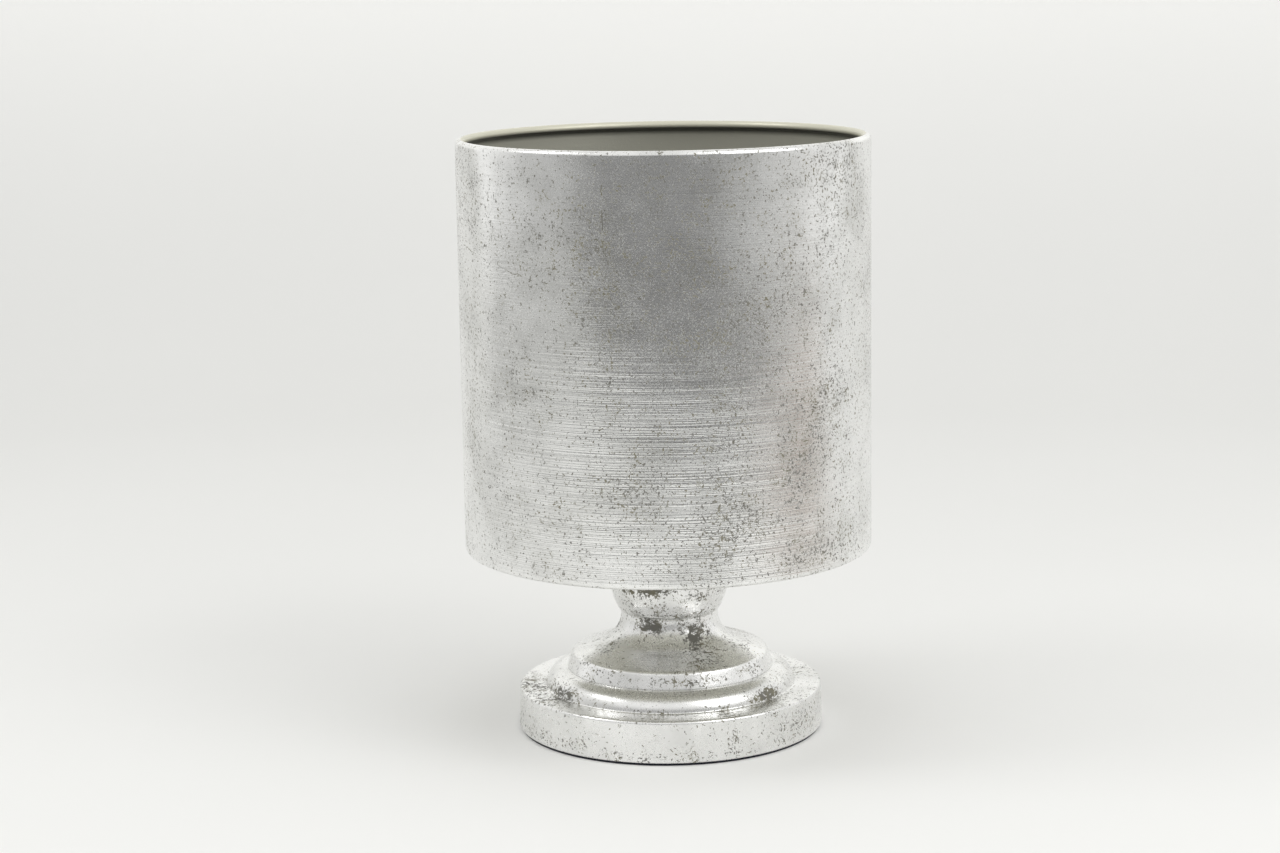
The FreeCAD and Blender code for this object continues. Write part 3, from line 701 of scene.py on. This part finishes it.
def table_material():
    n = Surface("white table")
    white = n.mix(n.noise(3.0, 2.0), *PAPER)
    x, y, z = n.split(n.place)
    # Painted shade, seen in the metal and in bounced light: the paper greys towards the dim room in front,
    # sooner on the right, and to both sides; a darker warm patch lies at the front right
    nearer = n.maths("ADD", n.maths("MULTIPLY", x, 0.35), n.maths("MULTIPLY", y, -1.0))
    shade_aside = n.maths("MAXIMUM", n.step(x, -0.12, -1.6), n.step(x, 0.42, 1.2))
    shade_aside = n.maths("MULTIPLY", shade_aside, n.step(y, 0.9, 0.3))
    corner = n.maths("MULTIPLY", n.step(x, 0.30, 0.75), n.step(y, 0.25, -0.25))
    corner = n.maths("MULTIPLY", corner, n.step(x, 2.0, 1.2))
    paper = n.mix(shade_aside, white, n.mix(n.step(x, -0.2, 0.2), PAPER_SHADE_LEFT, PAPER_SHADE_RIGHT))
    dim = n.mix(n.step(y, -1.9, -2.9), PAPER_SHADE_FRONT, PAPER_SHADE_FAR)
    dim = n.mix(n.step(x, 0.7, 2.2), dim, PAPER_SHADE_FAR_RIGHT)
    paper = n.mix(n.step(nearer, 0.68, 1.06), n.mix(corner, paper, PAPER_WARM), dim)
    colour = n.mix(n.ray("Is Camera Ray"), paper, white)
    # The sweep's upper part is as white as the table to the camera and in the metal, and lights nothing
    seen = n.maths("MAXIMUM", n.ray("Is Camera Ray"), n.ray("Is Glossy Ray"))
    seen = n.maths("MAXIMUM", seen, n.ray("Is Transmission Ray"))
    n.shader.inputs["Emission Color"].default_value = (1.0, 1.0, 0.975, 1.0)
    n.feed(n.shader.inputs["Emission Strength"], n.maths("MULTIPLY", seen, n.step(z, 0.0, 0.9, 0.0, 0.44)))
    return n.set(colour=colour, metal=0.0, rough=0.9, gloss=0.0)


def build_stage():
    table = bpy.data.objects.new("table", table_mesh())
    table.data.materials.append(table_material())
    bpy.context.scene.collection.objects.link(table)


def build_world():
    """Bright walls and ceiling, with a dim room in front that only lights and shows in the metal."""
    world = bpy.data.worlds.new("studio")
    bpy.context.scene.world = world
    world.use_nodes = True
    n = Nodes(world.node_tree, "Generated")
    up = n.split(n.place)["Z"]
    facing = n.step(n.vector("DOT_PRODUCT", n.place, ROOM_WAY), -0.25, 0.95, 0.0, 1.0, "LINEAR")
    room = n.maths("MULTIPLY", facing, n.step(up, 0.50, 0.10))
    walls = n.mix(n.step(up, 0.05, 0.40), WALL, CEILING)
    background = n.tree.nodes.new("ShaderNodeBackground")
    around = n.mix(n.ray("Is Camera Ray"), n.mix(room, walls, ROOM), SEEN_AROUND)
    n.feed(background.inputs["Color"], around)
    output = n.tree.nodes.new("ShaderNodeOutputWorld")
    n.tree.links.new(background.outputs[0], output.inputs["Surface"])


def softbox(name, place, target, size, power):
    light = bpy.data.lights.new(name, "AREA")
    light.shape = "SQUARE"
    light.size = size
    light.energy = power
    lamp = bpy.data.objects.new(name, light)
    lamp.location = place
    lamp.rotation_euler = (Vector(target) - Vector(place)).to_track_quat("-Z", "Y").to_euler()
    bpy.context.scene.collection.objects.link(lamp)


# Softboxes: place and target in metres, size of the square in metres, power in watts
LAMPS = {
    "key": ((1.35, -0.95, 1.35), (0.0, 0.0, 0.10), 1.5, 9.0),
    "left top": ((-0.95, -0.17, 1.21), (0.0, 0.0, 0.05), 0.5, 2.8),
    "right top": ((0.60, -0.50, 1.33), (0.0, 0.0, 0.05), 0.32, 1.0),
}
CAMERA_PLACE = (0.0, -1.5076, 0.4463)
CAMERA_DOWN, CAMERA_TURN, CAMERA_ROLL = 0.17967, -0.01002, -0.0158
LENS, SENSOR = 76.42, 36.0


def build_lights():
    for name, (place, target, size, power) in LAMPS.items():
        softbox(name, place, target, size, power)


def build_camera():
    """A long lens a metre and a half in front, looking down by ten degrees, turned a little."""
    ahead = Vector((math.sin(CAMERA_TURN), math.cos(CAMERA_TURN), 0.0))
    forward = ahead * math.cos(CAMERA_DOWN) - Vector((0.0, 0.0, math.sin(CAMERA_DOWN)))
    level = Vector((math.cos(CAMERA_TURN), -math.sin(CAMERA_TURN), 0.0))
    right = math.cos(CAMERA_ROLL) * level + math.sin(CAMERA_ROLL) * level.cross(forward)
    up = right.cross(forward)
    data = bpy.data.cameras.new("camera")
    data.lens = LENS
    data.sensor_width = SENSOR
    data.sensor_fit = "HORIZONTAL"
    camera = bpy.data.objects.new("camera", data)
    basis = Matrix((right, up, -forward)).transposed().to_4x4()
    basis.translation = Vector(CAMERA_PLACE)
    camera.matrix_world = basis
    bpy.context.scene.collection.objects.link(camera)
    bpy.context.scene.camera = camera


build_pot()
build_foot()
build_ring()
paint_hardware()
build_stage()
build_world()
build_lights()
build_camera()
bpy.context.scene.view_settings.view_transform = "Standard"

bpy.context.view_layer.update()
